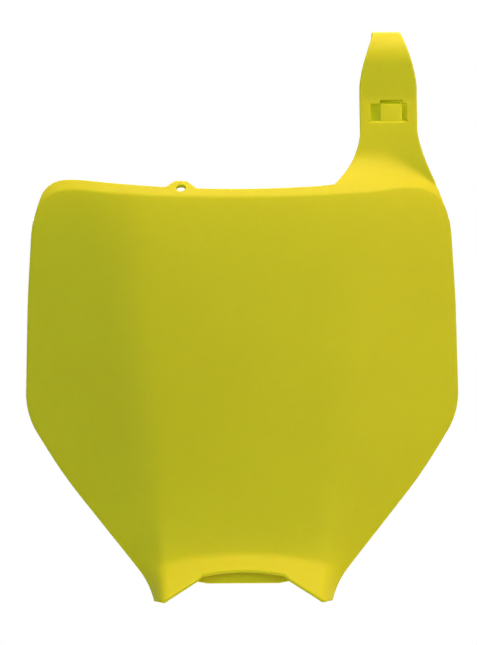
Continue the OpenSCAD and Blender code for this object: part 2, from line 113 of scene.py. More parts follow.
# %% Sizes of the outline
plate_w, shoulder_z, shoulder_r = 241.7, 100.8, 40
hip_w, hip_z, hip_r = 199.2, 67.6, 260
ankle_w, ankle_z, ankle_r = 98.5, 6.2, 48
foot_w = 96.8
side_w, side_r, side_rise = 238.6, 400, 7
upper_w, upper_z, upper_r = 233, 213.2, 70
corner_in, corner_up = 8.7, 17.3
plate_h = 225.2
wall, edge_r = 2.4, 0.7
print("the board is", plate_w, "mm wide and", plate_h, "mm high, its wall", wall, "mm thick")


# %% Half width of the board
def rounded_corner(before, corner, after, radius, steps=24):
    """Points on the arc that rounds a corner of a line."""
    before, corner, after = (np.array(p, float) for p in (before, corner, after))
    back = (before - corner) / np.linalg.norm(before - corner)
    on = (after - corner) / np.linalg.norm(after - corner)
    half = math.acos(back @ on) / 2
    middle = (back + on) / np.linalg.norm(back + on)
    centre = corner + middle * radius / math.sin(half)
    start = corner + back * radius / math.tan(half) - centre
    stop = corner + on * radius / math.tan(half) - centre
    a, b = math.atan2(start[1], start[0]), math.atan2(stop[1], stop[0])
    turns = np.linspace(a, b, steps + 1)
    return [centre + radius * np.array([math.cos(g), math.sin(g)]) for g in turns]


foot = (foot_w / 2, 0)
ankle = (ankle_w / 2, ankle_z)
hip = (hip_w / 2, hip_z)
shoulder = (plate_w / 2, shoulder_z)
side = (side_w / 2, (shoulder_z + upper_z) / 2 + side_rise)
upper = (upper_w / 2, upper_z)
corner = (upper_w / 2 - corner_in, upper_z + corner_up)
side_line = np.array(
    [foot]
    + rounded_corner(foot, ankle, hip, ankle_r)
    + rounded_corner(ankle, hip, shoulder, hip_r)
    + rounded_corner(hip, shoulder, side, shoulder_r)
    + rounded_corner(shoulder, side, upper, side_r)
    + rounded_corner(side, upper, corner, upper_r)
    + [corner]
)


def half_width(z):
    """Half the board's width at a height, up to where the edge starts to round."""
    return np.interp(z, side_line[:, 1], side_line[:, 0]) - edge_r


print("widest half:", round(float(half_width(np.linspace(60, 140, 200)).max()), 2), "mm")


# %% [markdown]
# ## The lip at the foot
# The foot flares forward like a small visor and ends in two legs with a low arch between them, so that it
# can sit on the mudguard. Its lower edge is the same on both sides, so the functions use the distance
# from the middle.

# %% Lower edge and fold of the lip
mid_foot_x, lip_z, lip_drop = 44.3, 24.9, 5.2
arch_z, arch_w, arch_rise = 16.8, 45.4, 2.3
step_w, step_h, tip_w, tip_z = 2.8, 2.6, 4, 0.6
arch_end_x = arch_w / 2
leg_x = [arch_end_x, arch_end_x + step_w, mid_foot_x, foot_w / 2 - tip_w, foot_w / 2]
leg_z = [arch_z - arch_rise, arch_z - arch_rise - step_h, tip_z, tip_z, 0.15]


def lip_edge(x):
    """Height of the lip's lower edge."""
    a = np.abs(x)
    arch = arch_z - arch_rise * (a / arch_end_x) ** 2
    return edge_r + np.where(a < arch_end_x, arch, np.interp(a, leg_x, leg_z))


def lip_fold(x):
    """Height of the fold above the lip."""
    return lip_z - lip_drop * np.minimum(np.abs(x) / mid_foot_x, 1) ** 2


print("the arch is", round(float(lip_edge(0) - lip_edge(arch_end_x)), 2), "mm high")


# %% [markdown]
# ## The face
# The face is a height field: for each place on the board, one function says how far back the surface lies. It
# adds up the parts that a designer would name: a nearly flat middle with a slight crown, two wings swept
# back behind soft creases, an upper part that leans back, and the forward flare above the lip.

# %% Sizes of the face
mid_top_x, crown_r, wing_sweep = 69.5, 650, 20
crease_z = [18, 78, 120, 220]
crease_foot_w, crease_mid_w, crease_top_w = 4, 30, 46
face_lean, mid_z, bow_shift = 4.6, 100, 0.6
brow_lean, brow_h = 15, 18
foot_flare, flare_h, flare_fade, fade_start = 17, 10, 26, 0.2
print("the flat middle widens from", 2 * mid_foot_x, "mm at the lip to", 2 * mid_top_x, "mm at the top")


# %% Depth of the face
def mid_x(z):
    """Half width of the flat middle, between its two soft creases."""
    return mid_foot_x + (mid_top_x - mid_foot_x) * np.clip((z - lip_z) / (plate_h - lip_z), 0, 1)


def crease_w(z):
    """Width over which each crease is rounded."""
    low = mix(crease_foot_w, crease_mid_w, ease((z - crease_z[0]) / (crease_z[1] - crease_z[0])))
    return low + (crease_top_w - crease_mid_w) * ease((z - crease_z[2]) / (crease_z[3] - crease_z[2]))


def lean_y(z):
    """The backward lean of the upper face, stronger just under the flange."""
    gentle = slope(face_lean) * (z - mid_z) ** 2 / (2 * (plate_h - mid_z))
    brow = brow_h * np.exp(-np.maximum(plate_h - z, 0) / brow_h) + np.maximum(z - plate_h, 0)
    return gentle + slope(brow_lean) * brow - bow_shift


def faded(x, z, width):
    """1 over the middle, falling to 0 beside it over a width."""
    return 1 - ease((np.abs(x) - mid_x(z)) / width + fade_start)


def flare_y(x, z):
    """The forward flare of the face above the lip, which dies out in the wings."""
    above = flare_h * np.exp(-np.maximum(z - lip_z, 0) / flare_h)
    return slope(foot_flare) * (above + np.maximum(lip_z - z, 0)) * faded(x, z, flare_fade)


def wing_y(x, z):
    """The crown of the middle and the sweep of the wings."""
    a, m = np.abs(x), mid_x(z)
    crown = np.minimum(a, m) ** 2 / (2 * crown_r) + np.maximum(a - m, 0) * m / crown_r
    return crown + slope(wing_sweep) * bend(a - m, crease_w(z))


def face_y(x, z):
    """Depth of the face without its folds."""
    return lean_y(z) - flare_y(x, z) + wing_y(x, z)


print("the wing's edge lies", round(float(face_y(110, 150) - face_y(0, 150)), 1), "mm behind the middle")


# %% [markdown]
# ## The top edge and the fold under the flange
# Along the top a narrow flange leans back to stiffen the board. Two lines describe it: the fold where it
# starts and the free edge where it ends. Both follow the same rule, a shallow dip over the middle and a
# curve round each corner, with their own numbers. A place along them is called u: from -1 to 1 over the
# middle and on to -2 and 2 at the sides. The free edge also rises into the ear.

# %% Sizes of the top edge, the flange and the ear
flange_h = 4.9
top_dip, fold_dip, climb_x = 5, 3.4, 80
ear_x, ear_w, ear_top_w, ear_h, ear_round = 33.1, 16.6, 6.2, 3.9, 1.6
root_x, root_right_z = 52, 225.4
left_edge = {"drop": edge_r, "dip": top_dip, "pull": 26, "end_z": upper_z + 5.5, "lead": (-4.8, 17)}
right_edge = {"drop": edge_r, "dip": top_dip, "pull": 26, "end_z": root_right_z, "lead": (-9, 3)}
fold_ends = {"drop": flange_h, "dip": fold_dip, "pull": 17.3, "end_z": upper_z - 3.2, "lead": (-6.6, 23.4)}
fillet_len, fillet_h = 12, 0.4
print("the flange is", flange_h, "mm high at its middle; the ear is", ear_w, "mm wide")


# %% The two lines along the top
def climb(x, dip):
    """How far the line has climbed from its middle."""
    return dip * (x / climb_x) ** 2


def top_line(u, drop, dip, pull, end_z, lead):
    """A line along the top, as x and z."""
    start = np.array([mid_top_x, plate_h - drop + climb(mid_top_x, dip)])
    leave = start + pull * np.array([1, 2 * climb(mid_top_x, dip) / mid_top_x])
    stop = np.array([half_width(end_z), end_z])
    arrive = stop + np.array(lead)
    t = np.clip(np.abs(u) - 1, 0, 1)[..., None]
    p = (1 - t) ** 3 * start + 3 * (1 - t) ** 2 * t * leave + 3 * (1 - t) * t * t * arrive + t**3 * stop
    over_middle = np.abs(u) <= 1
    x = np.where(over_middle, u * mid_top_x, np.sign(u) * p[..., 0])
    z = np.where(over_middle, plate_h - drop + climb(u * mid_top_x, dip), p[..., 1])
    return x, z


def ear_bump(x):
    """The ear's outline over the flange: straight flanks with soft corners."""
    a, flank = np.abs(x + ear_x), (ear_w - ear_top_w) / 2
    return ear_h * (1 - (bend(a - ear_top_w / 2, ear_round) - bend(a - ear_w / 2, ear_round)) / flank)


def root_fillet(x):
    """A little extra height where the flange runs into the strap."""
    return fillet_h * np.clip((x - root_x) / fillet_len + 1, 0, 1) ** 2


def fold_at(u):
    """The fold under the flange."""
    return top_line(u, **fold_ends)


def edge_at(u):
    """The free edge of the flange, with the ear."""
    left, right = top_line(u, **left_edge), top_line(u, **right_edge)
    x, z = np.where(u < 0, left[0], right[0]), np.where(u < 0, left[1], right[1])
    fading = root_fillet(np.array(root_x)) * np.clip(2 - u, 0, 1)
    return x, z + ear_bump(x) + np.where(np.abs(u) <= 1, root_fillet(x), np.where(u > 1, fading, 0))


fold_line = np.stack(fold_at(np.linspace(-2, 2, 241)), -1)
print("the ear's top is at", round(float(edge_at(np.array([-ear_x / mid_top_x]))[1][0]), 2), "mm")


# %% [markdown]
# ## One depth for every place on the board
# A fold is a soft bend too, and how far it has turned depends on the distance past its line, measured
# square to it. That keeps the flange equally crisp along the top and round the corners, where it
# narrows and runs out into the side edge.

# %% Depth of the board, folds included
face_z = 204
flange_tilt, fold_w = 47, 3
lip_tilt, lip_roll, lip_fade = 45.2, 5, 12
flange_slope = slope(flange_tilt) - slope(brow_lean) - slope(face_lean)
lip_slope = slope(lip_tilt) - slope(foot_flare)


def past_fold(x, z):
    """Distance past the fold under the flange, negative on the face's side."""
    start, run = fold_line[:-1], np.diff(fold_line, axis=0)
    p = np.stack([np.ravel(x), np.ravel(z)], -1)
    out = np.full(len(p), -100.0)
    near = np.where(p[:, 1] > face_z - 8)[0]
    d = p[near, None, :] - start[None]
    share = np.clip((d * run).sum(-1) / (run * run).sum(-1), 0, 1)
    off = d - share[..., None] * run
    length = np.linalg.norm(off, axis=-1)
    k = length.argmin(1)
    n = np.arange(len(near))
    outside = run[k, 0] * d[n, k, 1] - run[k, 1] * d[n, k, 0] >= 0
    out[near] = np.where(outside, length[n, k], -length[n, k])
    return out.reshape(np.shape(x))


def board_y(x, z):
    """Depth of the board's front."""
    reach = np.clip(x / mid_x(z), -1, 1) * mid_foot_x
    flange = flange_slope * bend(past_fold(x, z), fold_w)
    lip = lip_slope * bend(lip_fold(reach) - z, lip_roll) * faded(x, z, lip_fade)
    return face_y(x, z) + flange - lip


def board_normal(x, z, step=0.15):
    """The direction straight out of the board's front."""
    across = (board_y(x + step, z) - board_y(x - step, z)) / (2 * step)
    up = (board_y(x, z + step) - board_y(x, z - step)) / (2 * step)
    n = np.stack([across, -np.ones_like(across), up], -1)
    return n / np.linalg.norm(n, axis=-1, keepdims=True)


print("the flange's edge lies", round(float(board_y(np.array([0.0]), np.array([225.0]))[0]), 1), "mm back")


# %% [markdown]
# ## The grid on the board
# A mesh whose rows and columns follow the object's own lines catches the light as the real surface does, and
# its edges need no cutting. Columns fan out from the foot to the top; rows follow the lip, the face,
# the fold and the flange. They are closer together where the form turns quickly, such as beside
# the folds and along the ear.

# %% Columns and rows
def filled(marks, step):
    """The marks, and evenly spaced places between them about a step apart."""
    out = [marks[0]]
    for a, b in zip(marks[:-1], marks[1:]):
        count = max(1, round((b - a) / step))
        out.extend(a + (b - a) * k / count for k in range(1, count + 1))
    return np.array(out)


ear_u = [-(ear_x + 0.62 * ear_w) / mid_top_x, -(ear_x - 0.62 * ear_w) / mid_top_x]
step_u = [arch_end_x / mid_foot_x, (arch_end_x + step_w) / mid_foot_x]
root_u = root_x / mid_top_x
wing_u = [1 + t for t in (0.15, 0.3, 0.45, 0.6, 0.75, 0.88, 1)]
columns = np.concatenate([
    filled([-t for t in reversed(wing_u)] + [-1], 0.034)[:-1],
    filled([-1, ear_u[0]], 0.021)[:-1],
    filled(ear_u, 0.0085)[:-1],
    filled([ear_u[1], 0, step_u[0], step_u[1], root_u, 1], 0.021)[:-1],
    filled([1] + wing_u, 0.034),
])
columns = np.unique(np.round(np.concatenate([columns, [-step_u[0], -step_u[1]]]), 6))
close = np.where(np.diff(columns) < 0.004)[0]
columns = np.delete(columns, [k + 1 if abs(columns[k]) in np.round(step_u, 6) else k for k in close])
root_col = int(np.abs(columns - root_u).argmin())

rows = []
for zone, shares in enumerate([
    np.linspace(0, 1, 19),
    np.linspace(0, 1, 50)[1:] ** 1.25,
    np.linspace(0, 1, 12)[1:],
    np.linspace(0, 1, 54)[1:],
    1 - (1 - np.linspace(0, 1, 26)[1:]) ** 1.35,
    np.linspace(0, 1, 19)[1:] ** 1.15,
]):
    rows += [(zone, share) for share in shares]
print(len(columns), "columns,", len(rows), "rows, the strap starts at column", root_col)


# %% Points of the board's front
def across(u, z):
    """x of a column at a height."""
    outer = np.sign(u) * mix(mid_x(z), half_width(z), np.abs(u) - 1)
    return np.where(np.abs(u) <= 1, u * mid_x(z), outer)


low_shoulder_z, high_shoulder_z = shoulder_z - 9, shoulder_z + 7


def board_row(zone, share, u):
    """x and z of one row of points."""
    fold_z = lip_fold(np.clip(u, -1, 1) * mid_foot_x)
    if zone == 0:
        low = lip_edge(np.where(np.abs(u) <= 1, u * mid_foot_x, across(u, np.full_like(u, tip_z))))
        z = mix(low, fold_z, share)
    elif zone == 1:
        z = mix(fold_z, low_shoulder_z, share)
    elif zone == 2:
        z = np.full_like(u, mix(low_shoulder_z, high_shoulder_z, share))
    elif zone == 3:
        z = np.full_like(u, mix(high_shoulder_z, face_z, share))
    elif zone == 4:
        fx, fz = fold_at(u)
        z = mix(face_z, fz, share)
        return across(u, z) + share * (fx - across(u, fz)), z
    else:
        (fx, fz), (ex, ez) = fold_at(u), edge_at(u)
        return mix(fx, ex, share), mix(fz, ez, share)
    return across(u, z), z


flat = np.array([board_row(zone, share, columns) for zone, share in rows])
bx, bz = flat[:, 0], flat[:, 1]
board = np.stack([bx, board_y(bx, bz), bz], -1)
board_n = board_normal(bx, bz)
print("board grid", board.shape[:2])
print("depth from", board[..., 1].min().round(1), "to", board[..., 1].max().round(1), "mm")


# %% [markdown]
# ## The strap
# The strap grows out of the flange at the right. It leans back, turns upright, curls round the handlebar in
# a half circle of 36 mm, and comes down behind as a wide tail with a slot. Its rows start on the
# flange's edge, so the two surfaces share their points and no seam shows. Its width narrows smoothly over the
# crest, where the real one has to bend.

# %% Sizes of the strap
strap_x, strap_w, strap_back, strap_lean, strap_z = 82.8, 32.2, 36.5, 11.3, 250
root_top_z, root_sag, flare_power_left, flare_power_right = 258, 4.4, 1.95, 1.45
root_slope_left, root_slope_right = 1.4, 0.82
root_bend, root_tightness, least_bend = 20, 1.8, 0.5
kink_z, kink_w, kink_share = 276.2, 5, 0.9
curl_z, curl_d, curl_angle = 295.2, 36.1, 188
crest_w, taper_start, taper_len = 16, 14.5, 42
tail_len, tail_w, tail_spread_start, tail_spread_len, tail_corner_r = 36, 27, 6, 11, 5
print("the strap is", strap_w, "mm wide and curls round a bar of", curl_d, "mm")


# %% Depth and widths of the strap
def strap_y(z):
    """Depth of the strap's straight part."""
    return strap_back + slope(strap_lean) * (z - strap_z - kink_share * bend(z - kink_z, kink_w))


def strap_half(s):
    """Half its width at a distance past the start of the curl."""
    return mix(strap_w, crest_w, ease((s + taper_start) / taper_len)) / 2 - edge_r


def tail_half(s):
    """Half the tail's width at a distance past the end of the curl."""
    wide = mix(crest_w, tail_w, ease((s - tail_spread_start) / tail_spread_len)) / 2 - edge_r
    past = np.clip(s - (tail_len - edge_r - tail_corner_r), 0, tail_corner_r)
    return wide - tail_corner_r + np.sqrt(tail_corner_r**2 - past**2)


narrowest = float(strap_half(taper_len - taper_start))
print("over the crest the strap narrows to", round(2 * (narrowest + edge_r), 1), "mm")

# %% Where the strap leaves the flange
curl_r = curl_d / 2 + wall
curl_centre = np.array([float(strap_y(curl_z)) + curl_r, curl_z])
edge = board[-1, root_col:]
run = np.concatenate([[0], np.cumsum(np.linalg.norm(np.diff(edge, axis=0), axis=1))])
share = run / run[-1]
straight_half = float(strap_half(root_top_z - curl_z))
flare_left = strap_x - straight_half - edge[0, 0]
flare_right = edge[-1, 0] - strap_x - straight_half
edge_share = (edge[:, 0] - edge[0, 0]) / (edge[-1, 0] - edge[0, 0])
root_gap = strap_y(edge[:, 2]) + root_sag * share**2 - edge[:, 1]
root_w = np.clip(root_tightness * root_gap, least_bend, root_bend)
print("the strap starts on", len(edge), "points of the flange's edge")


# %% Rows of the strap
def root_row(t):
    """A row between the flange and the straight part."""
    z = mix(edge[:, 2], root_top_z, t)
    half = strap_half(z - curl_z)
    left = strap_x - half - flare_left * (1 - t) ** flare_power_left
    right = strap_x + half + flare_right * (1 - t) ** flare_power_right
    slanted = edge[:, 1] + mix(root_slope_left, root_slope_right, share) * (z - edge[:, 2])
    straight = strap_y(z) + root_sag * (share * (1 - t)) ** 2
    x = mix(left, right, mix(edge_share, share, t))
    return np.stack([x, slanted - bend(slanted - straight, root_w), z], -1)


def level_row(half, y, z):
    """A row straight across, with half its width, its depth and its height."""
    return np.stack([strap_x + half * (2 * share - 1), np.full_like(share, y), np.full_like(share, z)], -1)


def straight_row(z):
    """A row of the straight part."""
    return level_row(strap_half(z - curl_z), strap_y(z), z)


def curl_row(angle):
    """A row on the curl, at an angle from its start."""
    a = math.radians(angle)
    y, z = curl_centre[0] - curl_r * math.cos(a), curl_centre[1] + curl_r * math.sin(a)
    return level_row(strap_half(curl_r * a), y, z)


def tail_row(s):
    """A row of the tail."""
    a = math.radians(curl_angle)
    y, z = curl_row(curl_angle)[0, 1:] + s * np.array([math.sin(a), math.cos(a)])
    return level_row(tail_half(s), y, z)


print("the tail ends at", tail_row(tail_len)[0, 1:].round(1), "mm back and up")

# %% Points of the strap's front
tail_round = [tail_len - edge_r - tail_corner_r * (1 - math.sin(math.radians(a))) for a in range(0, 90, 9)]
strap = np.array(
    [root_row(t) for t in np.linspace(0, 1, 33)[1:]]
    + [straight_row(z) for z in filled([root_top_z, kink_z - 3, kink_z + 3, curl_z], 1.0)[1:]]
    + [curl_row(a) for a in np.linspace(0, curl_angle, 76)[1:]]
    + [tail_row(s) for s in filled([0, tail_round[0]], 1.2)[1:]]
    + [tail_row(s) for s in tail_round[1:]]
)
print("strap grid", strap.shape[:2], "its crest is at", strap[..., 2].max().round(1), "mm")


# %% [markdown]
# ## Thickness and rounded edges
# The moulding is 2.4 mm thick everywhere. Offsetting each point along the surface's own direction gives a
# true wall, better than a plain extrusion, which would thin out on the slopes. The free edge is closed with a
# half round strip of small steps: on a photograph it is this little round that draws a bright line along the
# board's side.

# %% Directions of the strap's front
def grid_normals(points):
    """Directions straight out of a grid of points."""
    along = np.gradient(points, axis=1)
    up = np.gradient(points, axis=0)
    n = np.cross(along, up)
    return n / np.linalg.norm(n, axis=-1, keepdims=True)


joined = np.concatenate([board[-3:, root_col:], strap])
strap_n = grid_normals(joined)[3:]
from_board = np.array([0.7, 0.4, 0.15])[:, None, None]
strap_n[:3] = mix(strap_n[:3], board_n[-1, root_col:], from_board)
strap_n /= np.linalg.norm(strap_n, axis=-1, keepdims=True)
print("the strap's crest looks", strap_n[strap[:, 0, 2].argmax(), 0].round(2))


# %% Points of the front
last_col, top_row = len(columns) - 1, len(rows) - 1
end_row = top_row + len(strap)
points, normals, ids = [], [], {}
for j in range(end_row + 1):
    first_col = 0 if j <= top_row else root_col
    for i in range(first_col, last_col + 1):
        ids[j, i] = len(points)
        points.append(board[j, i] if j <= top_row else strap[j - top_row - 1, i - root_col])
        normals.append(board_n[j, i] if j <= top_row else strap_n[j - top_row - 1, i - root_col])
points, normals = np.array(points), np.array(normals)
count = len(points)
print(count, "points on the front")

# %% The rim
rim = [(0, i) for i in range(last_col + 1)]
rim += [(j, last_col) for j in range(1, end_row + 1)]
rim += [(end_row, i) for i in range(last_col - 1, root_col - 1, -1)]
rim += [(j, root_col) for j in range(end_row - 1, top_row - 1, -1)]
rim += [(top_row, i) for i in range(root_col - 1, -1, -1)]
rim += [(j, 0) for j in range(top_row - 1, 0, -1)]
rim_ids = np.array([ids[k] for k in rim])
rim_p, rim_n = points[rim_ids], normals[rim_ids]
tangent = np.roll(rim_p, -1, 0) - np.roll(rim_p, 1, 0)
outward = np.cross(tangent, rim_n)
outward /= np.linalg.norm(outward, axis=1, keepdims=True)

rim_angles = np.radians([22.5, 45, 67.5, 90])
profile = [(edge_r * math.sin(a), edge_r * (1 - math.cos(a))) for a in rim_angles]
profile += [(out, wall - down) for out, down in reversed(profile)]
rings = [rim_ids]
shell_points = [points, points - wall * normals]
for out, down in profile:
    rings.append(2 * count + (len(rings) - 1) * len(rim) + np.arange(len(rim)))
    shell_points.append(rim_p + out * outward - down * rim_n)
rings.append(count + rim_ids)
print(len(rim), "points along the rim, in", len(rings), "rings from front to back")

# %% Faces of the shell
faces = []
for j in range(end_row):
    for i in range(0 if j < top_row else root_col, last_col):
        a, b, c, d = ids[j, i], ids[j, i + 1], ids[j + 1, i + 1], ids[j + 1, i]
        faces.append((a, b, c, d))
        faces.append((count + d, count + c, count + b, count + a))
for inner, outer in zip(rings[:-1], rings[1:]):
    for k in range(len(rim)):
        m = (k + 1) % len(rim)
        faces.append((int(inner[k]), int(outer[k]), int(outer[m]), int(inner[m])))
print(len(faces), "faces")

# %% [markdown]
# ## From arrays to a Blender object
# The CAD frame has its origin in the middle of the handlebar seat and is in metres, so every point is moved
# and scaled once here. Small helpers then do the carpentry: make a mesh, cut with another, join one on.

# %% Making, cutting and joining meshes
origin = np.array([strap_x, curl_centre[0], curl_centre[1]])


def in_frame(p):
    """Millimetres of the drawing to metres of the CAD frame."""
    return (np.asarray(p, float) - origin) / 1000


def as_object(name, verts, polygons):
    """A mesh object with its faces turned outward."""
    mesh = bpy.data.meshes.new(name)
    mesh.from_pydata([tuple(v) for v in in_frame(verts)], [], [tuple(f) for f in polygons])
    b = bmesh.new()
    b.from_mesh(mesh)
    bmesh.ops.recalc_face_normals(b, faces=b.faces)
    b.to_mesh(mesh)
    b.free()
    obj = bpy.data.objects.new(name, mesh)
    bpy.context.scene.collection.objects.link(obj)
    return obj


def worked(target, kind, tool=None, **settings):
    """Applies one modifier to an object; a tool object used for it is then thrown away."""
    modifier = target.modifiers.new(kind.lower(), kind)
    if tool is not None:
        modifier.object = tool
        modifier.solver = "EXACT"
    for key, value in settings.items():
        setattr(modifier, key, value)
    graph = bpy.context.evaluated_depsgraph_get()
    result = bpy.data.meshes.new_from_object(target.evaluated_get(graph))
    target.modifiers.clear()
    old, target.data = target.data, result
    bpy.data.meshes.remove(old)
    if tool is not None:
        bpy.data.objects.remove(tool)
    return target


board_obj = as_object("board_and_strap", np.concatenate(shell_points), faces)
print("shell:", len(board_obj.data.polygons), "faces")


# %% [markdown]
# ## Tools for the openings
# Three openings go through the wall: the screw hole in the ear, the slot near the tail's end and the window
# in the strap. On the real part each has slightly eased edges, so each cutting tool flares a little where it
# leaves the surface. Cutting tools are built from stacked outlines, like a tapered punch.

# %% A punch from stacked outlines
cut_reach, opening_ease = 1.5, 0.3


def punch(name, outlines, place):
    """A closed body through outlines of (x, y, z), which a placing function carries to their place."""
    n = len(outlines[0])
    verts = [place(p) for outline in outlines for p in outline]
    polygons = [list(range(n))[::-1], [len(verts) - n + k for k in range(n)]]
    for s in range(len(outlines) - 1):
        for k in range(n):
            m = (k + 1) % n
            polygons.append((s * n + k, s * n + m, (s + 1) * n + m, (s + 1) * n + k))
    return as_object(name, np.array(verts), polygons)


def eased(ease_r):
    """Pairs of (depth, extra size) for a cut whose edges are rounded at both faces of the wall."""
    turns = [math.radians(a) for a in (0, 30, 60, 90)]
    front = [(ease_r * (1 - math.cos(a)), ease_r * (1 - math.sin(a))) for a in turns]
    back = [(wall - depth, extra) for depth, extra in reversed(front)]
    return [(-cut_reach, ease_r)] + front + back + [(wall + cut_reach, ease_r)]


def cut(name, outline, ease_r, place):
    """Cuts an opening; its outline is a function of the extra size, and gives (x, z)."""
    stack = [[(x, depth, z) for x, z in outline(extra)] for depth, extra in eased(ease_r)]
    worked(board_obj, "BOOLEAN", punch(name, stack, place), operation="DIFFERENCE")


print("a cut goes through", len(eased(opening_ease)), "outlines")


# %% A rounded rectangle
def rounded_rectangle(w, h, r, steps=5):
    """The outline of a rectangle with rounded corners, as (x, z)."""
    out = []
    for cx, cz, start in ((1, 1, 0), (-1, 1, 90), (-1, -1, 180), (1, -1, 270)):
        for k in range(steps + 1):
            a = math.radians(start + 90 * k / steps)
            out.append((cx * (w / 2 - r) + r * math.cos(a), cz * (h / 2 - r) + r * math.sin(a)))
    return out


print("its outline has", len(rounded_rectangle(2, 1, 0.1)), "points")

# %% The screw hole in the ear
ear_hole_d, ear_hole_z = 5.5, 4.6
hole_z = plate_h - flange_h + climb(ear_x, fold_dip) + ear_hole_z
hole_at = np.array([-ear_x, float(board_y(np.array([-ear_x]), np.array([hole_z]))[0]), hole_z])
hole_out = board_normal(np.array([-ear_x]), np.array([hole_z]))[0]
hole_side = np.cross(hole_out, [0, 0, 1.0])
hole_side /= np.linalg.norm(hole_side)
hole_up = np.cross(hole_side, hole_out)
circle = [(math.cos(a), math.sin(a)) for a in np.linspace(0, 2 * math.pi, 48, endpoint=False)]


def place_hole(p):
    """From the hole's own directions to the drawing."""
    return hole_at + p[0] * hole_side - p[1] * hole_out + p[2] * hole_up


def hole_outline(extra):
    """The hole's outline, grown by the extra."""
    return [((ear_hole_d / 2 + extra) * c, (ear_hole_d / 2 + extra) * s) for c, s in circle]


cut("screw_punch", hole_outline, opening_ease, place_hole)
print("screw hole at", hole_at.round(2), "faces:", len(board_obj.data.polygons))

# %% The slot in the tail
tail_slot_w, tail_slot_h, slot_r, tail_end = 16.5, 11, 0.8, 5.5
tail_turn = math.radians(curl_angle)
tail_at = tail_row(tail_len - tail_end - tail_slot_h / 2)[0]
tail_along = np.array([0, math.sin(tail_turn), math.cos(tail_turn)])
tail_out = np.array([0, -math.cos(tail_turn), math.sin(tail_turn)])


def place_tail(p):
    """From the tail's own directions to the drawing; its outer face looks backward."""
    aside = np.array([p[0], 0, 0])
    return np.array([strap_x, tail_at[1], tail_at[2]]) + aside - p[1] * tail_out + p[2] * tail_along


def slot_outline(extra):
    """The slot's outline, grown by the extra."""
    return rounded_rectangle(tail_slot_w + 2 * extra, tail_slot_h + 2 * extra, slot_r + extra)


cut("slot_punch", slot_outline, opening_ease, place_tail)
print("tail slot cut, faces:", len(board_obj.data.polygons))


# %% [markdown]
# ## The window in the strap
# The stud stands behind the strap and is reached through a window, because the mould needs a way in to
# shape the stud's front. The window is one opening with a step: full height over its whole width, and a
# little higher over the stem. Its lower edge is cut back at a slant, which catches the light from above.

# %% Cut the window
window_h, window_z, window_ease, head_w, head_top = 10, 263.6, 0.6, 20.1, 1.9
stem_w, stem_shift, recess = 12.7, 1.6, 0.8
slant_out, slant_drop, slant_end, slant_top = 3, 3.8, 0.2, 0.6


def place_strap(p):
    """From the strap's own directions to the drawing: x right, y into the wall, z up the strap."""
    a = math.radians(strap_lean)
    y, z = p[1] * math.cos(a) + p[2] * math.sin(a), -p[1] * math.sin(a) + p[2] * math.cos(a)
    return np.array([strap_x + p[0], float(strap_y(window_z)) + y, window_z + z])


def window_outline(extra):
    """The window's outline, grown by the extra."""
    half = head_w / 2 + extra
    left, right = stem_shift - stem_w / 2 - extra, stem_shift + stem_w / 2 + extra
    high, low = window_h + extra, -extra
    top_z = window_h + head_top + extra
    step = [(right, high), (right, top_z), (left, top_z), (left, high)]
    return [(-half, low), (half, low), (half, high), *step, (-half, high)]


cut("window_punch", window_outline, window_ease, place_strap)
slant_half = head_w / 2 + recess
slant_side = [(-slant_out, -slant_drop), (recess, -slant_end), (recess, slant_top), (-slant_out, slant_top)]
slant = [[(x, depth, z) for depth, z in slant_side] for x in (-slant_half, slant_half)]
worked(board_obj, "BOOLEAN", punch("slant_punch", slant, place_strap), operation="DIFFERENCE")
print("window cut, faces:", len(board_obj.data.polygons))


# %% [markdown]
# ## The stud and the tongue
# The stud is a stem with a wide head: the tail's slot is pulled over the head and hooks behind it. The tongue
# is a flat plate behind the lip that slips behind the mudguard's edge. Both are drawn as outlines, given a
# thickness, and their edges are rounded with a bevel before they are joined to the wall, because a
# sharp block is the surest sign of a computer model.

# %% Small parts with rounded edges
small_part_r = 0.5


def rounded(obj):
    """The object with its sharp edges rounded."""
    limit = {"limit_method": "ANGLE", "angle_limit": math.radians(25)}
    return worked(obj, "BEVEL", width=small_part_r / 1000, segments=3, **limit)


def plate(name, outline, front, back):
    """A plate along the strap from an outline in (x, z), between two depths."""
    return rounded(punch(name, [[(x, depth, z) for x, z in outline] for depth in (front, back)], place_strap))


print("the edges of the small parts are rounded by", small_part_r, "mm")

# %% Join the stud
head_gap, head_t, head_lap, stem_root, stem_gap = 3.2, 2.4, 1.2, 2, 0.3
stem_left, stem_right = stem_shift - stem_w / 2 + stem_gap, stem_shift + stem_w / 2 - stem_gap
stem = plate(
    "stem",
    [(stem_left, -stem_root), (stem_right, -stem_root), (stem_right, window_h), (stem_left, window_h)],
    recess, wall + head_gap + head_t / 2,
)
head_left, head_right = -head_w / 2 - head_lap, head_w / 2 + head_lap
lug_z = window_h + head_top + head_lap
head = plate(
    "head",
    [(head_left, -head_lap), (head_right, -head_lap), (head_right, window_h + head_lap),
     (stem_right, window_h + head_lap), (stem_right, lug_z), (stem_left, lug_z),
     (stem_left, window_h + head_lap), (head_left, window_h + head_lap)],
    wall + head_gap, wall + head_gap + head_t,
)
worked(stem, "BOOLEAN", head, operation="UNION")
worked(board_obj, "BOOLEAN", stem, operation="UNION")
print("stud joined, faces:", len(board_obj.data.polygons))


# %% Join the tongue
tongue_w, tongue_t, tongue_z, tongue_bevel_w, tongue_bevel_h = 52, 2.8, 8.9, 6.5, 1.2
tongue_top_z, tongue_root_h, tongue_front_y, tongue_root_y = 36, 12, 0.7, 1.7


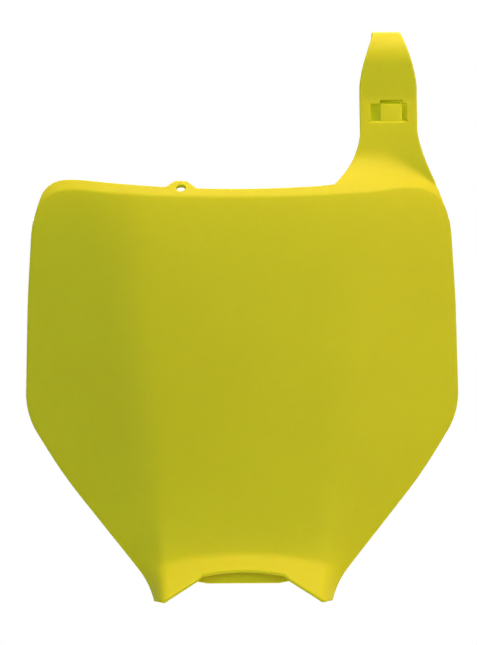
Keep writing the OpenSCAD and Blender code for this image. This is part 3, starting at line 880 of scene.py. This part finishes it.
def tongue_section(x, low):
    """The tongue's section at x, from its lower edge up into the wall, as (x, y, z)."""
    back = tongue_front_y + tongue_t
    return [(x, tongue_front_y, low), (x, back, low), (x, back, tongue_top_z - tongue_root_h),
            (x, tongue_root_y, tongue_top_z), (x, tongue_front_y, tongue_top_z)]


half = tongue_w / 2
sections = [
    tongue_section(-half, tongue_z + tongue_bevel_h),
    tongue_section(-half + tongue_bevel_w, tongue_z),
    tongue_section(half - tongue_bevel_w, tongue_z),
    tongue_section(half, tongue_z + tongue_bevel_h),
]
tongue = rounded(punch("tongue", sections, np.array))
worked(board_obj, "BOOLEAN", tongue, operation="UNION")
print("tongue joined, faces:", len(board_obj.data.polygons))

# %% Smooth the moulding and hang it on the frame
mesh = board_obj.data
mesh.shade_smooth()
mesh.set_sharp_from_angle(angle=math.radians(38))
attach(board_obj, "root")
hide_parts("number_board")
print("moulding:", sum(len(p.vertices) - 2 for p in mesh.polygons), "triangles")


# %% [markdown]
# ## A way to write shaders
# Blender builds a finish from nodes joined by links. Made one by one they fill pages, and the idea behind
# them is lost. Shader maths reads best as plain expressions, so a small class wraps a socket, and
# `1 - mask * 0.2` then adds the Math nodes by itself. Colours go through Mix nodes instead, because a Math
# node would turn them grey. The same class serves the plastic, the floor and the world.

# %% Values that build Math nodes
class Value:
    """A number that varies over the surface."""

    def __init__(self, finish, socket):
        self.finish, self.socket = finish, socket

    def __add__(self, other):
        return self.finish.maths("ADD", self, other)

    def __mul__(self, other):
        return self.finish.maths("MULTIPLY", self, other)

    def __sub__(self, other):
        return self.finish.maths("SUBTRACT", self, other)

    def __rsub__(self, other):
        return self.finish.maths("SUBTRACT", other, self)

    __radd__ = __add__
    __rmul__ = __mul__


print("operators:", [name for name in vars(Value) if name.endswith(("add__", "mul__", "sub__"))])


# %% One method for every node
class Finish:
    """The node tree of a material, or of the world, under construction."""

    def __init__(self, owner):
        owner.use_nodes = True
        self.owner, self.tree = owner, owner.node_tree
        self.tree.nodes.clear()

    def node(self, kind, settings=None, output=0, **sockets):
        """Any node: its settings first, then the values or links of its sockets, named with _ for spaces."""
        made = self.tree.nodes.new(kind)
        for key, value in (settings or {}).items():
            setattr(made, key, value)
        for key, value in sockets.items():
            slot = int(key[1:]) if key[1:].isdigit() else key.replace("_", " ")
            if isinstance(value, Value):
                self.tree.links.new(value.socket, made.inputs[slot])
            else:
                made.inputs[slot].default_value = value
        return Value(self, made.outputs[output]) if made.outputs else None

    def maths(self, operation, a, b):
        return self.node("ShaderNodeMath", {"operation": operation}, i0=a, i1=b)

    def blend(self, share, a, b):
        """A colour between two colours."""
        return self.node("ShaderNodeMix", {"data_type": "RGBA"}, output=2, i0=share, i6=a, i7=b)

    def step(self, value, low, high):
        """0 below low, 1 above high, soft between."""
        settings = {"interpolation_type": "SMOOTHSTEP"}
        return self.node("ShaderNodeMapRange", settings, Value=value, From_Min=low, From_Max=high)

    def between(self, value, start, stop):
        """1 inside a range; its start and its stop are each a pair over which it changes."""
        return self.step(value, *start) - self.step(value, *stop)

    def along(self, vector, direction):
        """How far a vector reaches in a direction."""
        dot = {"operation": "DOT_PRODUCT"}
        return self.node("ShaderNodeVectorMath", dot, output=1, i0=vector, i1=direction)


print("ready to write finishes")

# %% [markdown]
# ## The plastic
# The real board is polypropylene in a fluorescent yellow, with a satin surface from a finely blasted
# mould, so highlights are broad and soft. Seen close there is a fine grain, a faint unevenness of colour
# from the pigment, and a few hairline scratches from handling. A flat colour would look like a drawing, so
# the shader mixes these in, each at its real scale.
#
# The wall is thin enough to glow a little: light enters, spreads by about two millimetres and leaves
# again. That softens the shading beside every fold and edge, and subsurface scattering gives it. Inside the
# small window the scattering alone left the walls too dark, so the base colour is about one and a half
# times as bright in there and on the stud behind. That brighter yellow is painted light, standing in for
# the light that reaches those walls, and no property of the plastic. A mask finds the place, counted from
# the window's lower edge.
#
# The gloss level is 0.09, well under the 0.5 of real plastic: with a white world mirrored in it, a true
# gloss lifts the blue of the shaded yellow further than it is in the photograph.

# %% Grain, clouds and scratches
plastic = Finish(bpy.data.materials.new("satin_yellow_polypropylene"))
place = plastic.node("ShaderNodeTexCoord", output=3)
grain = plastic.node("ShaderNodeTexNoise", Vector=place, Scale=2600.0, Detail=2.0, Roughness=0.6)
waviness = plastic.node("ShaderNodeTexNoise", Vector=place, Scale=38.0, Detail=2.0, Roughness=0.45)
cloud = plastic.node("ShaderNodeTexNoise", Vector=place, Scale=11.0, Detail=4.0, Roughness=0.55)
speck = plastic.node("ShaderNodeTexNoise", Vector=place, Scale=420.0, Detail=3.0, Roughness=0.6)

hair_turn, hair_scale = (0.3, 0.5, 0.9), (900.0, 24.0, 24.0)
stretched = plastic.node("ShaderNodeMapping", Vector=place, Rotation=hair_turn, Scale=hair_scale)
hair = plastic.node("ShaderNodeTexNoise", Vector=stretched, Scale=1.0, Detail=1.0, Roughness=0.4)
patch = plastic.node("ShaderNodeTexNoise", Vector=place, Scale=26.0, Detail=1.0)
scratches = plastic.step(hair, 0.70, 0.76) * plastic.step(patch, 0.5, 0.62)
print("five noises at five scales")

# %% Satin yellow polypropylene
yellow = (0.50, 0.410, 0.006, 1)
deep_yellow = (0.475, 0.388, 0.005, 1)
pale_yellow = (0.53, 0.445, 0.010, 1)
# The brightest yellow below is painted light for the inside of the window, not a colour of the plastic.
painted_light_yellow = (0.74, 0.68, 0.012, 1)
colour = plastic.blend(plastic.step(cloud, 0.3, 0.7), deep_yellow, yellow)
colour = plastic.blend(plastic.step(speck, 0.58, 0.8) * 0.35, colour, pale_yellow)
colour = plastic.blend(scratches * 0.25, colour, pale_yellow)

# Painted light: this mask turns the base colour to the brighter yellow on the window's walls and the stud
# behind it, where the lamps leave them too dark.
lean = math.radians(strap_lean)
window_at = in_frame((strap_x, float(strap_y(window_z)), window_z))
from_window = plastic.node("ShaderNodeVectorMath", {"operation": "SUBTRACT"}, i0=place, i1=tuple(window_at))
depth = plastic.along(from_window, (0, math.cos(lean), -math.sin(lean)))
aside = plastic.along(from_window, (1, 0, 0))
height_up = plastic.along(from_window, (0, 0, 1))
painted_light_mask = plastic.between(depth, (0.0006, 0.0022), (0.0057, 0.0060))
painted_light_mask = painted_light_mask * plastic.between(aside, (-0.0125, -0.0112), (0.0112, 0.0125))
painted_light_mask = painted_light_mask * plastic.between(height_up, (-0.003, -0.002), (0.0135, 0.015))
colour = plastic.blend(painted_light_mask, colour, painted_light_yellow)

roughness = 0.48 + cloud * 0.06 + speck * 0.05 + scratches * 0.08
height = grain * 0.35 + waviness * 0.5 - scratches * 0.4
bump = plastic.node("ShaderNodeBump", Strength=0.12, Distance=0.0002, Height=height)
surface = plastic.node(
    "ShaderNodeBsdfPrincipled",
    Base_Color=colour, Roughness=roughness, Normal=bump, IOR=1.49, Specular_IOR_Level=0.09,
    Subsurface_Weight=1.0, Subsurface_Radius=(0.7, 1.0, 0.2), Subsurface_Scale=0.0022,
)
plastic.node("ShaderNodeOutputMaterial", Surface=surface)
board_obj.data.materials.clear()
board_obj.data.materials.append(plastic.owner)
print("finish:", plastic.owner.name, "with", len(plastic.tree.nodes), "nodes")

# %% [markdown]
# ## The studio
# The board hangs against plain white, lit by a broad warm light from above and a little to the right. The
# weaker fills from the sides and the front are green, so that the shaded side of the yellow turns towards
# green and not towards brown. The powers and tints were fitted to the colours of the photograph, so they
# say nothing about the lamps that were really used. A fill from behind shows the back.
#
# A pale floor lies well below, since the board hangs by its strap. It keeps the board's shadow, but shows
# the camera mostly white, so the shadow is faint. The world is white where the camera sees it, directly,
# mirrored in the plastic or through it, and gives only a low even light otherwise.

# %% Floor and world
floor_mesh = bpy.data.meshes.new("studio_floor")
low = cad_box[0][2] - 0.6
corners = [(-1.2, -1.2, low), (1.2, -1.2, low), (1.2, 1.2, low), (-1.2, 1.2, low)]
floor_mesh.from_pydata(corners, [], [(0, 1, 2, 3)])
floor = bpy.data.objects.new("studio_floor", floor_mesh)
bpy.context.scene.collection.objects.link(floor)
pale = Finish(bpy.data.materials.new("pale_floor"))
matt = pale.node("ShaderNodeBsdfDiffuse", Color=(0.8, 0.8, 0.8, 1))
white = pale.node("ShaderNodeEmission", Color=(1, 1, 1, 1), Strength=1.0)
ray = pale.node("ShaderNodeLightPath", output="Is Camera Ray")
mixed = pale.node("ShaderNodeMixShader", Fac=ray * 0.93, i1=matt, i2=white)
pale.node("ShaderNodeOutputMaterial", Surface=mixed)
floor.data.materials.append(pale.owner)

world = bpy.data.worlds.new("studio_world")
bpy.context.scene.world = world
sky = Finish(world)
straight = sky.node("ShaderNodeLightPath", output="Is Camera Ray")
mirrored = sky.node("ShaderNodeLightPath", output="Is Glossy Ray")
through = sky.node("ShaderNodeLightPath", output="Is Transmission Ray")
seen = sky.maths("MAXIMUM", sky.maths("MAXIMUM", straight, mirrored), through)
even = sky.node("ShaderNodeBackground", Color=(0.60, 1.0, 0.90, 1), Strength=0.10)
backdrop = sky.node("ShaderNodeBackground", Color=(1, 1, 1, 1), Strength=1.0)
sky.node("ShaderNodeOutputWorld", Surface=sky.node("ShaderNodeMixShader", Fac=seen, i1=even, i2=backdrop))
print("world ready")


# %% Soft lamps
def soft_lamp(name, direction, distance, size, watts, tint):
    """A square soft box that faces the board."""
    lamp = bpy.data.lights.new(name, "AREA")
    lamp.shape, lamp.size, lamp.energy, lamp.color = "SQUARE", size, watts, tint
    obj = bpy.data.objects.new(name, lamp)
    bpy.context.scene.collection.objects.link(obj)
    middle = Vector(in_frame((0, 0, 150)))
    out = Vector(direction).normalized()
    obj.location = middle + distance * out
    obj.rotation_euler = (-out).to_track_quat("-Z", "Y").to_euler()
    return obj


soft_lamp("overhead_soft_box", (0.0, -0.05, 1.0), 4.0, 2.6, 176, (1.0, 0.82, 0.74))
soft_lamp("right_soft_box", (0.47, -0.30, 0.83), 3.2, 1.5, 82, (1.0, 0.78, 0.66))
soft_lamp("left_fill", (-0.67, -0.74, 0.05), 5.0, 2.4, 70, (0.52, 1.0, 0.80))
soft_lamp("right_fill", (0.67, -0.74, 0.10), 5.0, 2.4, 95, (0.75, 1.0, 0.85))
soft_lamp("front_fill", (0.0, -1.0, 0.25), 5.0, 2.0, 70, (0.66, 0.98, 0.72))
soft_lamp("back_fill", (0.15, 1.0, 0.30), 5.0, 2.4, 160, (0.86, 1.0, 0.86))

# %% [markdown]
# ## The camera
# The board fills the frame from a level camera straight in front, a metre and a half away, with a long
# lens, so the sides hardly converge. It leans a third of a degree in the picture, which is the camera's roll.

# %% Camera
camera = bpy.data.cameras.new("camera")
camera.sensor_fit = "VERTICAL"
camera.sensor_height = 36
camera.lens = 153.6
camera.clip_end = 50
camera_obj = bpy.data.objects.new("camera", camera)
bpy.context.scene.collection.objects.link(camera_obj)
camera_obj.location = in_frame((-1.8, -1500, 151.2))
roll, upright = Matrix.Rotation(math.radians(0.33), 4, "Y"), Matrix.Rotation(math.pi / 2, 4, "X")
camera_obj.rotation_euler = (roll @ upright).to_euler()
bpy.context.scene.camera = camera_obj
bpy.context.scene.view_settings.view_transform = "Standard"
print("camera at", [round(v, 3) for v in camera_obj.location])
